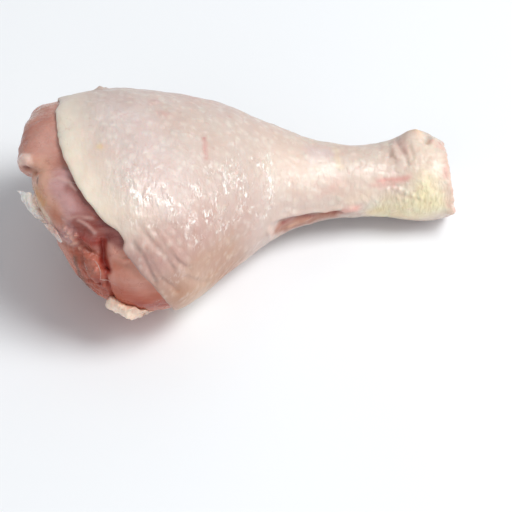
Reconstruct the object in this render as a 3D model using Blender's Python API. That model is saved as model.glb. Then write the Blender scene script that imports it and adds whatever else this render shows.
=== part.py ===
"""A raw chicken drumstick lying on its side, as separate closed solids: skin, muscles, bone and trim.

Lengths are millimetres here and become metres when a mesh is made. The leg runs along X from the knee at
-X to the hock at +X, Z is up and the drumstick rests on Z = 0. Turns go round the leg in degrees: 0 is
its +Y side, 90 its top, 180 its -Y side and 270 its underside.
"""

import math
from collections import namedtuple

import bmesh
import bpy
from mathutils import Vector

MM = 0.001
CLEARANCE = 0.35

# What moves the origin under the middle of the finished leg.
TO_ORIGIN = Vector((-1.2, 0.1, 0.0))

# Every ring round the leg has this many columns, and its neighbours use the same ones.
SIDES = 40

# The leg's outer form. At each place along it: half the width, the rise of the top above the widest
# level, the drop of the underside below it, the height of that level, and how far it lies towards +Y.
# A drop that is more than the level leaves a flat underside, where the soft leg lies on the table.
Station = namedtuple("Station", "along half_width rise drop level middle")
STATIONS = (
    Station(-60.0, 26.5, 23.0, 20.0, 21.5, 1.5),
    Station(-50.0, 29.5, 24.5, 22.5, 22.3, 0.5),
    Station(-38.0, 32.6, 26.5, 24.5, 23.0, -0.2),
    Station(-24.0, 34.0, 26.5, 24.5, 23.0, -0.6),
    Station(-12.0, 31.0, 24.0, 22.5, 21.4, 1.6),
    Station(0.0, 23.3, 20.0, 18.0, 17.8, 8.9),
    Station(11.0, 16.0, 14.6, 13.6, 15.0, 13.6),
    Station(22.0, 11.2, 11.0, 10.6, 13.6, 15.2),
    Station(33.0, 9.8, 9.6, 9.4, 12.6, 15.8),
    Station(42.0, 10.4, 10.0, 10.0, 11.9, 18.0),
    Station(49.0, 12.4, 12.0, 11.8, 11.2, 19.3),
    Station(55.0, 11.2, 11.2, 11.2, 11.0, 18.2),
    Station(61.0, 8.8, 8.8, 9.2, 10.8, 17.6),
)

# A knuckle of the hock joint lifts the skin on the far side.
KNUCKLE_ALONG = 49.0
KNUCKLE_TURN = 45.0
KNUCKLE_HEIGHT = 1.2
KNUCKLE_LENGTH = 3.5
KNUCKLE_ANGLE = 30.0

# The skin's edge at the knee is cut aslant: it reaches furthest towards the knee on the top.
KNEE_EDGE = -31.5
KNEE_SLANT = 15.5
KNEE_SLANT_TURN = 50.0
UNDERSIDE_REACH = 8.0
UNDERSIDE_FROM_TURN = 212.0
SLANT_ENDS_AT = 12.0

# The cut through the hock joint is nearly square to the leg.
HOCK_CUT = 58.3
HOCK_SLANT = 1.2
HOCK_SLANT_TURN = 215.0
HOCK_SLANT_STARTS_AT = 44.0

SKIN_THICKNESS = 1.4
SKIN_RIM = 0.5
STOPS = (KNEE_EDGE, -29.5, -26.0, -21.0, -15.5, -10.0, -4.5, 1.0, 6.5, 12.0, 18.0, 24.0, 30.5, 37.0,
         42.5, 46.5, 50.0, 53.5, 56.5, HOCK_CUT)

# Four muscles lie round the bone, each between two columns. They stand out of the skin at the knee with
# rounded ends, furthest on the side where the skin is cut shortest, and dip where they meet.
Muscle = namedtuple("Muscle", "name first last longer colour")
MUSCLES = (
    Muscle("muscle_upper", 2, 12, 4.0, (0.55, 0.27, 0.22)),
    Muscle("muscle_side", 12, 17, -1.0, (0.42, 0.21, 0.20)),
    Muscle("muscle_lower", 17, 29, 0.0, (0.50, 0.20, 0.15)),
    Muscle("muscle_far", 29, 42, 0.0, (0.52, 0.24, 0.19)),
)
MEAT_LEAST = 9.0
MEAT_EXTRA = 16.5
MEAT_EXTRA_TURN = 170.0
MEAT_AT_BONE = 14.5
BARE_INSET = 0.9
SEAM_DEPTH = 0.7
SEAM_COLUMNS = 1.5
END_ROUNDNESS = 3.0
END_ANGLES = (80.0, 70.0, 58.0, 44.0, 28.0, 12.0)

# The bone runs straight from the middle of the knee to the middle of the hock, between two heads.
KNEE_JOINT = Vector((-46.0, 2.5, 21.0))
HOCK_JOINT = Vector((HOCK_CUT, 18.0, 11.0))
SHAFT_RADIUS = 3.8
KNEE_HEAD_RADIUS = 9.5
KNEE_HEAD_FROM = -20.0
KNEE_HEAD_TO = -38.0
HOCK_HEAD_RADIUS = 6.4
HOCK_HEAD_FROM = 36.0
HOCK_HEAD_TO = 48.0
HEAD_ROUNDING = 4.0
HEAD_ANGLES = (74.0, 52.0, 28.0)

# A pad of fat covers the bone's end at the knee, longer across one way than the other.
PAD_BACK_ANGLES = (74.0, 52.0, 40.0)
PAD_FRONT_ANGLES = (0.0, 22.0, 42.0, 60.0, 76.0)
PAD_WIDEST = -50.6
PAD_LENGTH = 3.6
PAD_WIDTH = 0.78
PAD_LOBES = 0.2
PAD_LOBE_TURN = 115.0
PAD_BLUNTNESS = 0.8
PAD_LIFT = Vector((0.0, -0.8, 2.0))

# Small flaps hang off the bare meat: each has a root edge on the meat and a free edge, near to far.
Flap = namedtuple("Flap", "name root_near root_far free_near free_far thickness curl colour roughness")
FLAPS = (
    Flap("tendon_flap", (-48.6, -16.8, 34.5), (-52.4, -11.4, 39.2), (-51.5, -14.6, 33.0), (-57.0, -9.4, 38.0),
         0.9, 0.8, (0.78, 0.74, 0.68), 0.35),
    Flap("tendon_strip", (-43.9, -23.6, 34.4), (-47.6, -19.8, 37.0), (-45.6, -22.6, 32.4),
         (-49.4, -19.2, 36.0), 0.8, 0.3, (0.72, 0.62, 0.58), 0.35),
    Flap("fat_tag", (-21.4, -28.3, 10.3), (-32.0, -31.0, 18.9), (-22.8, -29.3, 7.7), (-33.0, -30.9, 15.5),
         1.8, 2.5, (0.82, 0.58, 0.46), 0.4),
)
FLAP_COLUMNS = 7
FLAP_ROWS = 4
FLAP_RIM = 0.75


def smoothstep(t):
    """0 below 0, 1 above 1 and an S curve between."""
    t = min(max(t, 0.0), 1.0)
    return t * t * (3.0 - 2.0 * t)


def turn_of(column):
    return 360.0 * column / SIDES


def form(along):
    """The leg's outer form at any place along it, on a smooth curve through the stations."""
    last = len(STATIONS) - 1
    along = min(max(along, STATIONS[0].along), STATIONS[last].along)
    i = max(k for k in range(last) if STATIONS[k].along <= along)
    before, near, far, after = (STATIONS[min(max(k, 0), last)] for k in (i - 1, i, i + 1, i + 2))
    span = far.along - near.along
    t = (along - near.along) / span
    values = []
    for a, b, c, d in zip(before, near, far, after):
        slope_near = (c - a) / (far.along - before.along) * span
        slope_far = (d - b) / (after.along - near.along) * span
        blend = (2 * t**3 - 3 * t**2 + 1) * b + (3 * t**2 - 2 * t**3) * c
        values.append(blend + (t**3 - 2 * t**2 + t) * slope_near + (t**3 - t**2) * slope_far)
    return Station(*values)


def knee_reach(turn):
    """How far the skin's slanted knee edge lies from its mean place, at a turn round the leg."""
    top = (1.0 + math.cos(math.radians(turn - KNEE_SLANT_TURN))) / 2.0
    under = max(math.sin(math.radians(turn - UNDERSIDE_FROM_TURN)), 0.0)
    return KNEE_SLANT * (1.0 - 2.0 * smoothstep(top)) - UNDERSIDE_REACH * under**2


def hock_reach(turn):
    return HOCK_SLANT * math.cos(math.radians(turn - HOCK_SLANT_TURN))


def surface_point(along, turn, inset, floor):
    """A point inset below the leg's outer form, where no part lies lower than floor."""
    at = form(along)
    across, up = math.cos(math.radians(turn)), math.sin(math.radians(turn))
    height = at.rise if up > 0.0 else at.drop
    off_turn = (turn - KNUCKLE_TURN) / KNUCKLE_ANGLE
    off_along = (along - KNUCKLE_ALONG) / KNUCKLE_LENGTH
    inset = inset - KNUCKLE_HEIGHT * math.exp(-off_turn**2 - off_along**2)
    y = at.middle + (at.half_width - inset) * across
    z = at.level + (height - inset) * up
    return Vector((along, y, max(z, floor)))


def covered_point(stop, turn, inset, floor):
    """A point of the skin or of what it covers, on rings that slant towards the knee's edge."""
    slant = 1.0 - smoothstep((stop - KNEE_EDGE) / (SLANT_ENDS_AT - KNEE_EDGE))
    square = smoothstep((stop - HOCK_SLANT_STARTS_AT) / (HOCK_CUT - HOCK_SLANT_STARTS_AT))
    along = stop + slant * knee_reach(turn) + square * hock_reach(turn)
    return surface_point(along, turn, inset, floor)


def bone_radius(along):
    """The bone's radius: a broad head at the knee, a narrow shaft and a smaller head at the hock."""
    knee = smoothstep((KNEE_HEAD_FROM - along) / (KNEE_HEAD_FROM - KNEE_HEAD_TO))
    hock = smoothstep((along - HOCK_HEAD_FROM) / (HOCK_HEAD_TO - HOCK_HEAD_FROM))
    return SHAFT_RADIUS + (KNEE_HEAD_RADIUS - SHAFT_RADIUS) * knee + (HOCK_HEAD_RADIUS - SHAFT_RADIUS) * hock


def bone_point(along, turn, gap=0.0, size=1.0):
    share = (along - KNEE_JOINT.x) / (HOCK_JOINT.x - KNEE_JOINT.x)
    middle = KNEE_JOINT.lerp(HOCK_JOINT, share)
    radius = bone_radius(along) * size + gap
    return Vector((along, middle.y + radius * math.cos(math.radians(turn)),
                   middle.z + radius * math.sin(math.radians(turn))))


def solid_from_rings(rings, end_faces):
    """Join rings of points into one closed body.

    end_faces lists the faces, as places in a ring, that close each end. Without any, the last ring joins
    the first again.
    """
    mesh = bmesh.new()
    rows = [[mesh.verts.new((point + TO_ORIGIN) * MM) for point in ring] for ring in rings]
    if not end_faces:
        rows.append(rows[0])
    for near, far in zip(rows, rows[1:]):
        for k in range(len(near)):
            mesh.faces.new((near[k - 1], near[k], far[k], far[k - 1]))
    for face in end_faces:
        mesh.faces.new([rows[0][k] for k in reversed(face)])
        mesh.faces.new([rows[-1][k] for k in face])
    bmesh.ops.triangulate(mesh, faces=mesh.faces[:])
    if mesh.calc_volume(signed=True) < 0.0:
        bmesh.ops.reverse_faces(mesh, faces=mesh.faces[:])
    return mesh


def finish(mesh, name, colour, roughness):
    """Make an object of a mesh, with its own material, round parts shaded smooth."""
    data = bpy.data.meshes.new(name)
    mesh.to_mesh(data)
    mesh.free()
    data.shade_smooth()
    data.set_sharp_from_angle(angle=math.radians(40.0))
    material = bpy.data.materials.new(name)
    material.use_nodes = True
    shader = material.node_tree.nodes["Principled BSDF"]
    shader.inputs["Base Color"].default_value = (*colour, 1.0)
    shader.inputs["Roughness"].default_value = roughness
    shader.inputs["Metallic"].default_value = 0.0
    data.materials.append(material)
    piece = bpy.data.objects.new(name, data)
    bpy.context.collection.objects.link(piece)
    return piece


def make_skin():
    """A sleeve from its slanted edge at the knee to the cut at the hock, open at both ends."""
    turns = [turn_of(k) for k in range(SIDES)]
    outer = [[covered_point(stop, turn, 0.0, 0.0) for turn in turns] for stop in STOPS]
    inner = [[covered_point(stop, turn, SKIN_THICKNESS, SKIN_THICKNESS) for turn in turns] for stop in STOPS]
    rim = [(a + b) / 2.0 - Vector((SKIN_RIM, 0.0, 0.0)) for a, b in zip(outer[0], inner[0])]
    mesh = solid_from_rings([rim] + outer + inner[::-1], end_faces=())
    return finish(mesh, "skin", (0.80, 0.64, 0.55), 0.42)


def bone_columns(muscle):
    """The columns in which a muscle's section comes back along the bone: its sides and the even ones."""
    columns = range(muscle.first, muscle.last + 1)
    return [k for k in columns if k in (muscle.first, muscle.last) or k % 2 == 0]


def muscle_ring(muscle, section_at):
    """One section of a muscle: out along its outer arc and back along the bone."""
    outer = []
    inner = []
    for k in range(muscle.first, muscle.last + 1):
        turn = turn_of(k)
        side = (k == muscle.first) - (k == muscle.last)
        point, core = section_at(turn)
        aside = Vector((0.0, -math.sin(math.radians(turn)), math.cos(math.radians(turn))))
        aside *= side * CLEARANCE / 2.0
        outer.append(point + aside)
        if k in bone_columns(muscle):
            inner.append(core + aside)
    return outer + inner[::-1]


def muscle_end(muscle):
    """The small faces between outer arc and bone that close a muscle's ends."""
    core = bone_columns(muscle)
    last = muscle.last - muscle.first + len(core)
    faces = []
    for i, (near, far) in enumerate(zip(core, core[1:])):
        arc = [k - muscle.first for k in range(near, far + 1)]
        faces.append(arc + [last - i - 1, last - i])
    return faces


def covered_section(stop, turn):
    """Where a muscle lies under the skin: its outer point and its point on the bone."""
    inset = SKIN_THICKNESS + CLEARANCE
    return covered_point(stop, turn, inset, inset), bone_point(stop, turn, CLEARANCE)


def seam_dip(muscle, turn):
    """How far a bare muscle dips towards its two long edges, where it meets its neighbours."""
    from_edge = min(turn - turn_of(muscle.first), turn_of(muscle.last) - turn)
    return SEAM_DEPTH * max(1.0 - from_edge / turn_of(SEAM_COLUMNS), 0.0) ** 2


def meat_length(turn):
    """How far the bare meat stands out of the skin's edge."""
    share = (1.0 + math.cos(math.radians(turn - MEAT_EXTRA_TURN))) / 2.0
    return MEAT_LEAST + MEAT_EXTRA * share**2


def bare_section(muscle, angle, turn):
    """Where a muscle stands out of the skin: it rounds over from the skin's edge to its end."""
    out = math.sin(math.radians(angle)) ** (2.0 / END_ROUNDNESS)
    size = math.cos(math.radians(angle)) ** (2.0 / END_ROUNDNESS)
    along = KNEE_EDGE + knee_reach(turn) - out * (meat_length(turn) + muscle.longer)
    full = surface_point(along, turn, BARE_INSET + out * seam_dip(muscle, turn), 0.0)
    core = bone_point(KNEE_EDGE - out * MEAT_AT_BONE, turn, CLEARANCE)
    return core.lerp(full, size), core


def make_muscle(muscle):
    rings = [muscle_ring(muscle, lambda turn, angle=angle: bare_section(muscle, angle, turn))
             for angle in END_ANGLES]
    rings += [muscle_ring(muscle, lambda turn, stop=stop: covered_section(stop, turn)) for stop in STOPS]
    mesh = solid_from_rings(rings, muscle_end(muscle))
    return finish(mesh, muscle.name, muscle.colour, 0.35)


def head_ring(angle, gap=0.0):
    """A ring on the bone's rounded knee end, or as far in front of it as gap."""
    theta = math.radians(angle)
    along = KNEE_JOINT.x - HEAD_ROUNDING * math.sin(theta) - gap
    return [bone_point(along, turn_of(k), 0.0, math.cos(theta)) for k in range(0, SIDES, 2)]


def make_bone():
    rings = [head_ring(angle) for angle in HEAD_ANGLES]
    for stop in (KNEE_JOINT.x, KNEE_HEAD_TO) + STOPS:
        rings.append([bone_point(stop, turn_of(k)) for k in range(0, SIDES, 2)])
    mesh = solid_from_rings(rings, [range(SIDES // 2)])
    return finish(mesh, "bone", (0.82, 0.80, 0.74), 0.4)


def pad_lobes(turn):
    """The pad's width at a turn round it, as a share of its mean width."""
    return 1.0 + PAD_LOBES * math.cos(2.0 * math.radians(turn - PAD_LOBE_TURN))


def make_knee_pad():
    """The pad of fat on the bone's end: hollow behind, where the bone's head fits, and domed in front."""
    rings = [head_ring(angle, CLEARANCE) for angle in PAD_BACK_ANGLES]
    for angle in PAD_FRONT_ANGLES:
        theta = math.radians(angle)
        along = PAD_WIDEST - PAD_LENGTH * math.sin(theta)
        size = PAD_WIDTH * math.cos(theta) ** PAD_BLUNTNESS
        lift = PAD_LIFT * math.sin(theta)
        turns = [turn_of(k) for k in range(0, SIDES, 2)]
        rings.append([bone_point(along, turn, 0.0, size * pad_lobes(turn)) + lift for turn in turns])
    mesh = solid_from_rings(rings, [range(SIDES // 2)])
    return finish(mesh, "knee_pad", (0.62, 0.36, 0.25), 0.4)


def make_flap(flap):
    """A small curled sheet, thick in its middle and thin at its rim."""
    root_near, root_far, free_near, free_far = (Vector(corner) for corner in flap[1:5])
    normal = (root_far - root_near).cross(free_near - root_near).normalized()
    rings = []
    for i in range(FLAP_ROWS + 1):
        out = i / FLAP_ROWS
        front = []
        back = []
        for j in range(FLAP_COLUMNS + 1):
            along = j / FLAP_COLUMNS
            point = root_near.lerp(root_far, along).lerp(free_near.lerp(free_far, along), out)
            point += normal * flap.curl * math.sin(math.pi * along)
            rim = max(abs(2.0 * along - 1.0), out) ** 3
            half = flap.thickness / 2.0 * (1.0 - FLAP_RIM * rim)
            front.append(point + normal * half)
            back.append(point - normal * half)
        rings.append(front + back[::-1])
    last = 2 * FLAP_COLUMNS + 1
    mesh = solid_from_rings(rings, [(j, j + 1, last - j - 1, last - j) for j in range(FLAP_COLUMNS)])
    return finish(mesh, flap.name, flap.colour, flap.roughness)


def main():
    for piece in list(bpy.data.objects):
        bpy.data.objects.remove(piece)
    make_skin()
    for muscle in MUSCLES:
        make_muscle(muscle)
    make_bone()
    make_knee_pad()
    for flap in FLAPS:
        make_flap(flap)


main()
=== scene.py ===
"""A raw chicken drumstick on a pale table: pimpled skin drawn back from the bare meat at the knee, the
muscles and the bone inside it, loose tags of tendon and fat, and the cut hock.

Places are millimetres in the part's own frame: X runs from the knee to the hock, Z is up and the table is at
Z = 0. Colours are red, green and blue from 0 to 255.
"""

import math
from collections import namedtuple

import bpy
import numpy as np
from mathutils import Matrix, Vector, bvhtree, kdtree, noise


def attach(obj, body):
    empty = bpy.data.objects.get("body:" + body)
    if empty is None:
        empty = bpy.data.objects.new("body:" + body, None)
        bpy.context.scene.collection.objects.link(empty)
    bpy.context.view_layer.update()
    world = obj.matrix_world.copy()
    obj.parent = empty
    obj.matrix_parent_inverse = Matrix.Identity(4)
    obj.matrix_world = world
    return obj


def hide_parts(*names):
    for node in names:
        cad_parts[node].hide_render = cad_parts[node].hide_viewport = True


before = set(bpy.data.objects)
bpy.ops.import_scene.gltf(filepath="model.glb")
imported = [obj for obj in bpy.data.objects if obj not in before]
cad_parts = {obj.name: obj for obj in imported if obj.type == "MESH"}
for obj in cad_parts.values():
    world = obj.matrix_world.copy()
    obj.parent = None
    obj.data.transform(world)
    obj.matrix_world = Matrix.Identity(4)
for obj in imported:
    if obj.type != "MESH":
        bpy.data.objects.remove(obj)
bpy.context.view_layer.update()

# What wanders does so in the same way each time.
noise.seed_set(1)

MM = 0.001

# How close a piece comes to the table, and to a neighbour that it nestles against.
CLEAR_OF_TABLE = 0.02
TOUCH = 0.12

# The middle line of the leg, from the knee to the hock.
LEG_MIDDLE = np.array((
    (-61.0, 1.6, 21.5), (-39.0, -0.1, 23.0), (-13.0, 1.7, 21.4), (-1.0, 9.0, 17.8), (10.0, 13.7, 15.0),
    (21.0, 15.3, 13.6), (32.0, 15.9, 12.6), (41.0, 18.1, 11.9), (48.0, 19.4, 11.2), (60.0, 17.7, 10.8),
))

# A coloured patch on the surface, round a place or along a path of places. A high edge makes it end sharply.
Patch = namedtuple("Patch", "colour strength width path edge", defaults=(2,))

# A ridge, or with a height below 0 a furrow, along a path of places or at one place.
Fold = namedtuple("Fold", "height width path")


def tone(colour):
    """A colour as paint and shaders take it."""
    shares = (value / 255.0 for value in colour)
    return tuple(s / 12.92 if s <= 0.04045 else ((s + 0.055) / 1.055) ** 2.4 for s in shares)


# ---------------------------------------------------------------- pieces and their nets

def pick(*pieces):
    """Select these pieces alone and make the first the active one."""
    bpy.ops.object.select_all(action="DESELECT")
    for piece in pieces:
        piece.select_set(True)
    bpy.context.view_layer.objects.active = pieces[0]


def tissue_from(node, name):
    """A new piece in the shape of a solid, its loose triangles joined into a net of quads and rounded off."""
    piece = bpy.data.objects.new(name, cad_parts[node].data.copy())
    piece.data.name = name
    piece.data.materials.clear()
    bpy.context.collection.objects.link(piece)
    pick(piece)
    bpy.ops.object.mode_set(mode="EDIT")
    bpy.ops.mesh.select_all(action="SELECT")
    bpy.ops.mesh.customdata_custom_splitnormals_clear()
    bpy.ops.mesh.remove_doubles(threshold=0.01 * MM)
    bpy.ops.mesh.mark_sharp(clear=True)
    bpy.ops.mesh.tris_convert_to_quads(face_threshold=math.pi, shape_threshold=math.pi)
    bpy.ops.mesh.faces_shade_smooth()
    bpy.ops.object.mode_set(mode="OBJECT")
    smooth = piece.modifiers.new("smooth", "SUBSURF")
    smooth.levels = smooth.render_levels = 2
    bpy.ops.object.modifier_apply(modifier=smooth.name)
    return piece


def stand_for(piece, slot, *nodes):
    """Let a piece stand for its solids: hang it from the root body and hide those solids. slot is not used.
    """
    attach(piece, "root")
    if nodes:
        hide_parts(*nodes)


def joined(pieces, name):
    """Make one piece of several."""
    pick(*pieces)
    bpy.ops.object.join()
    pieces[0].name = pieces[0].data.name = name
    return pieces[0]


def evened(piece, spacing, passes):
    """Give a piece one fine, even net, and soften its corners."""
    pick(piece)
    even = piece.modifiers.new("even", "REMESH")
    even.mode = "VOXEL"
    even.voxel_size = spacing * MM
    even.use_smooth_shade = True
    bpy.ops.object.modifier_apply(modifier=even.name)
    soft = piece.modifiers.new("soft", "SMOOTH")
    soft.iterations = passes
    soft.factor = 0.5
    bpy.ops.object.modifier_apply(modifier=soft.name)


def finer(piece, chosen):
    """Halve the net of a piece where its points are chosen."""
    pick(piece)
    bpy.ops.object.mode_set(mode="EDIT")
    bpy.ops.mesh.select_mode(type="VERT")
    bpy.ops.mesh.select_all(action="DESELECT")
    bpy.ops.object.mode_set(mode="OBJECT")
    piece.data.vertices.foreach_set("select", chosen)
    bpy.ops.object.mode_set(mode="EDIT")
    bpy.ops.mesh.select_mode(type="FACE")
    bpy.ops.mesh.subdivide(number_cuts=1, smoothness=1.0)
    bpy.ops.object.mode_set(mode="OBJECT")


def places(piece):
    """Where a piece's points are, in millimetres."""
    flat = np.empty(len(piece.data.vertices) * 3, np.float32)
    piece.data.vertices.foreach_get("co", flat)
    return flat.reshape(-1, 3).astype(float) / MM


def facings(piece):
    """Which way the surface faces at each point."""
    flat = np.empty(len(piece.data.vertices) * 3, np.float32)
    piece.data.vertex_normals.foreach_get("vector", flat)
    return flat.reshape(-1, 3).astype(float)


def put_at(piece, points, lowest=CLEAR_OF_TABLE):
    """Move a piece's points to new places, none of them lower than that."""
    points = points.copy()
    points[:, 2] = np.maximum(points[:, 2], lowest)
    piece.data.vertices.foreach_set("co", (points * MM).astype(np.float32).ravel())
    piece.data.update()


# ---------------------------------------------------------------- measuring and marking by place

def middle_of_leg(points):
    """For each point, the place on the leg's middle line level with it."""
    along = points[:, 0]
    return np.stack([along] + [np.interp(along, LEG_MIDDLE[:, 0], LEG_MIDDLE[:, k]) for k in (1, 2)], axis=1)


def away_from_middle(points):
    """The direction straight out from the leg's middle line at each point."""
    out = points - middle_of_leg(points)
    return out / np.maximum(np.linalg.norm(out, axis=1), 1e-6)[:, None]


def turned_out(points, facing):
    """How far the surface faces straight out from the leg's middle line, from -1 to 1."""
    return (facing * away_from_middle(points)).sum(axis=1)


def distance_to(path, points):
    """How far each point lies from a line through the path's places."""
    path = np.array(path, float).reshape(-1, 3)
    nearest = np.linalg.norm(points - path[0], axis=1)
    for start, end in zip(path, path[1:]):
        run = end - start
        share = np.clip((points - start) @ run / (run @ run), 0.0, 1.0)
        nearest = np.minimum(nearest, np.linalg.norm(points - start - share[:, None] * run, axis=1))
    return nearest


def distance_among(points, others):
    """How far each point lies from the nearest of the others."""
    tree = kdtree.KDTree(len(others))
    for index, place in enumerate(others):
        tree.insert(place, index)
    tree.balance()
    return np.array([tree.find(place)[2] for place in points])


def surface_of(piece):
    """A piece's surface as a tree that finds the nearest place on it."""
    corners = [v.co / MM for v in piece.data.vertices]
    return bvhtree.BVHTree.FromPolygons(corners, [tuple(p.vertices) for p in piece.data.polygons])


def distance_from(piece, points):
    """How far each point lies from a piece's surface."""
    surface = surface_of(piece)
    return np.array([surface.find_nearest(point)[3] for point in points])


def fade(distance, width, edge=2):
    """A share that falls from 1 to 0 with distance, about as far as the width: the higher the edge, the more
    sharply."""
    return np.exp(-(distance / width) ** edge)


def ramp(values, start, end):
    """A share that runs from 0 at the start to 1 at the end."""
    return np.clip((values - start) / (end - start), 0.0, 1.0)


def at_hock(points):
    """A share that runs up to 1 at the cut hock."""
    return ramp(points[:, 0], 52.0, 56.0)


def uneven(points, size, seed, octaves=2, stretch=(1.0, 1.0, 1.0)):
    """A cloud-like unevenness from about -1 to 1, with bumps of that size and direction."""
    scaled = points / (size * np.array(stretch)) + seed
    return np.array([noise.fractal(Vector(p), 1.0, 2.0, octaves) for p in scaled])


def wandering(points, size, reach, seed):
    """The points shifted a little this way and that, so that marks drawn by them look grown."""
    scaled = points / size + seed
    return points + reach * np.array([noise.noise_vector(Vector(p)) for p in scaled])


def pimply(points, size, seed):
    """Domes from 0 to 1 packed side by side, of that size."""
    scaled = points / size + seed
    near = np.array([noise.voronoi(Vector(p))[0][0] for p in scaled])
    return np.clip(1.0 - near**2 * 1.6, 0.0, 1.0)


def laid_on(surface, marks):
    """The same folds or patches with their paths brought down to a surface."""
    def brought_down(path):
        return [tuple(surface.find_nearest(place)[0]) for place in path]
    return [mark._replace(path=brought_down(mark.path)) for mark in marks]


def folded(points, folds):
    """How far the folds lift or sink each point."""
    lift = np.zeros(len(points))
    for fold in folds:
        lift += fold.height * fade(distance_to(fold.path, points), fold.width)
    return lift


def nestled(points, neighbour, reach, share):
    """The points that lie within reach of a neighbour's surface, drawn most of the way up to it."""
    moved = points.copy()
    for index, point in enumerate(points):
        if share[index] > 0.01:
            place, _, _, gap = neighbour.find_nearest(point, reach)
            if place is not None and gap > TOUCH:
                near = min(1.0, 2.0 * (1.0 - gap / reach)) * share[index]
                moved[index] += (np.array(place) - point) * (1.0 - TOUCH / gap) * near
    return moved


def mixed(paint, share, colour):
    """Each point's paint drawn that share of the way to a colour."""
    return paint + share[:, None] * (np.array(tone(colour)) - paint)


def painted(base, patches, points):
    """Paint for every point: a base, and patches over it from first to last."""
    paint = np.array(np.broadcast_to(base, (len(points), 3)))
    for patch in patches:
        cover = patch.strength * fade(distance_to(patch.path, points), patch.width, patch.edge)
        paint = mixed(paint, cover, patch.colour)
    return paint


def keep_paint(piece, paint):
    """Keep each point's paint in a piece, where its material reads it."""
    kept = piece.data.color_attributes.new("paint", "FLOAT_COLOR", "POINT")
    rows = np.concatenate([np.clip(paint, 0.0, 1.0), np.ones((len(paint), 1))], axis=1)
    kept.data.foreach_set("color", rows.astype(np.float32).ravel())


def keep_mask(piece, name, values):
    """Keep a number for each point of a piece, where its material reads it."""
    mask = piece.data.attributes.new(name, "FLOAT", "POINT")
    mask.data.foreach_set("value", np.clip(values, 0.0, 1.0).astype(np.float32))


# ---------------------------------------------------------------- materials

def place_node(tree, kind, inputs=(), **settings):
    """Add a shader node, with its settings and with values or links for its inputs."""
    made = tree.nodes.new(kind)
    for name, value in settings.items():
        setattr(made, name, value)
    for name, value in dict(inputs).items():
        if isinstance(value, bpy.types.NodeSocket):
            tree.links.new(value, made.inputs[name])
        else:
            made.inputs[name].default_value = value
    return made


def calculate(tree, operation, first, second=0.5):
    return place_node(tree, "ShaderNodeMath", {0: first, 1: second}, operation=operation).outputs[0]


def times(tree, *factors):
    """The product of sockets and numbers."""
    product = factors[0]
    for factor in factors[1:]:
        product = calculate(tree, "MULTIPLY", product, factor)
    return product


def rest_of(tree, share):
    """What is left of 1 beside a share."""
    return calculate(tree, "SUBTRACT", 1.0, share)


def move_vector(tree, operation, vector, by):
    return place_node(tree, "ShaderNodeVectorMath", {0: vector, 1: by}, operation=operation).outputs[0]


def ranged(tree, value, low, high, to_low=0.0, to_high=1.0):
    """A value spread from one range to another, with soft ends."""
    return place_node(tree, "ShaderNodeMapRange",
                      {"Value": value, "From Min": low, "From Max": high, "To Min": to_low,
                       "To Max": to_high}, interpolation_type="SMOOTHSTEP").outputs["Result"]


def blended(tree, under, colour, *shares, how="MIX"):
    """A colour laid over the one under it, by the product of the shares."""
    mix = place_node(tree, "ShaderNodeMix", {"Factor": times(tree, *shares)}, data_type="RGBA",
                     blend_type=how)
    tree.links.new(under, mix.inputs[6])
    mix.inputs[7].default_value = (*tone(colour), 1.0)
    return mix.outputs[2]


def clouds_in(tree, place, scale, detail, roughness=0.5, distortion=0.0):
    """A cloudy texture's outputs."""
    return place_node(tree, "ShaderNodeTexNoise",
                      {"Vector": place, "Scale": scale, "Detail": detail, "Roughness": roughness,
                       "Distortion": distortion}).outputs


def cells_in(tree, place, scale, evenness, smoothness):
    """How far each place is from the middle of its cell, with the cells run together smoothly."""
    return place_node(tree, "ShaderNodeTexVoronoi",
                      {"Vector": place, "Scale": scale, "Randomness": evenness, "Smoothness": smoothness},
                      feature="SMOOTH_F1").outputs["Distance"]


def new_group(name, inputs, outputs):
    """An empty shader node group with named sockets; inputs give each one's usual value."""
    tree = bpy.data.node_groups.new(name, "ShaderNodeTree")
    for label, value in inputs.items():
        kind = "NodeSocketVector" if label == "Place" else "NodeSocketFloat"
        socket = tree.interface.new_socket(label, in_out="INPUT", socket_type=kind)
        if kind == "NodeSocketFloat":
            socket.default_value = value
    for label in outputs:
        tree.interface.new_socket(label, in_out="OUTPUT", socket_type="NodeSocketFloat")
    return tree, tree.nodes.new("NodeGroupInput").outputs, tree.nodes.new("NodeGroupOutput").inputs


def make_pimples():
    """Goose pimples: soft domes side by side with finer ones over them, and a pore here and there."""
    tree, given, wanted = new_group("Pimples", {"Place": None, "Per metre": 400.0, "Evenness": 0.8},
                                    ("Height", "Tops", "Pores"))
    cloud = clouds_in(tree, given["Place"], 160.0, 1.0)["Color"]
    shift = move_vector(tree, "MULTIPLY", move_vector(tree, "SUBTRACT", cloud, (0.5, 0.5, 0.5)),
                        (0.0026, 0.0026, 0.0026))
    place = move_vector(tree, "ADD", given["Place"], shift)
    domes = ranged(tree, cells_in(tree, place, given["Per metre"], given["Evenness"], 0.55), 0.62, 0.08)
    finer_cells = cells_in(tree, place, times(tree, given["Per metre"], 2.3), 0.9, 0.4)
    finer_domes = ranged(tree, finer_cells, 0.6, 0.1)
    rare = place_node(tree, "ShaderNodeTexVoronoi",
                      {"Vector": place, "Scale": times(tree, given["Per metre"], 0.5), "Randomness": 1.0},
                      feature="F1").outputs["Distance"]
    tree.links.new(calculate(tree, "ADD", times(tree, domes, 0.8), times(tree, finer_domes, 0.2)),
                   wanted["Height"])
    tree.links.new(domes, wanted["Tops"])
    tree.links.new(ranged(tree, rare, 0.13, 0.05), wanted["Pores"])
    return tree


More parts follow.
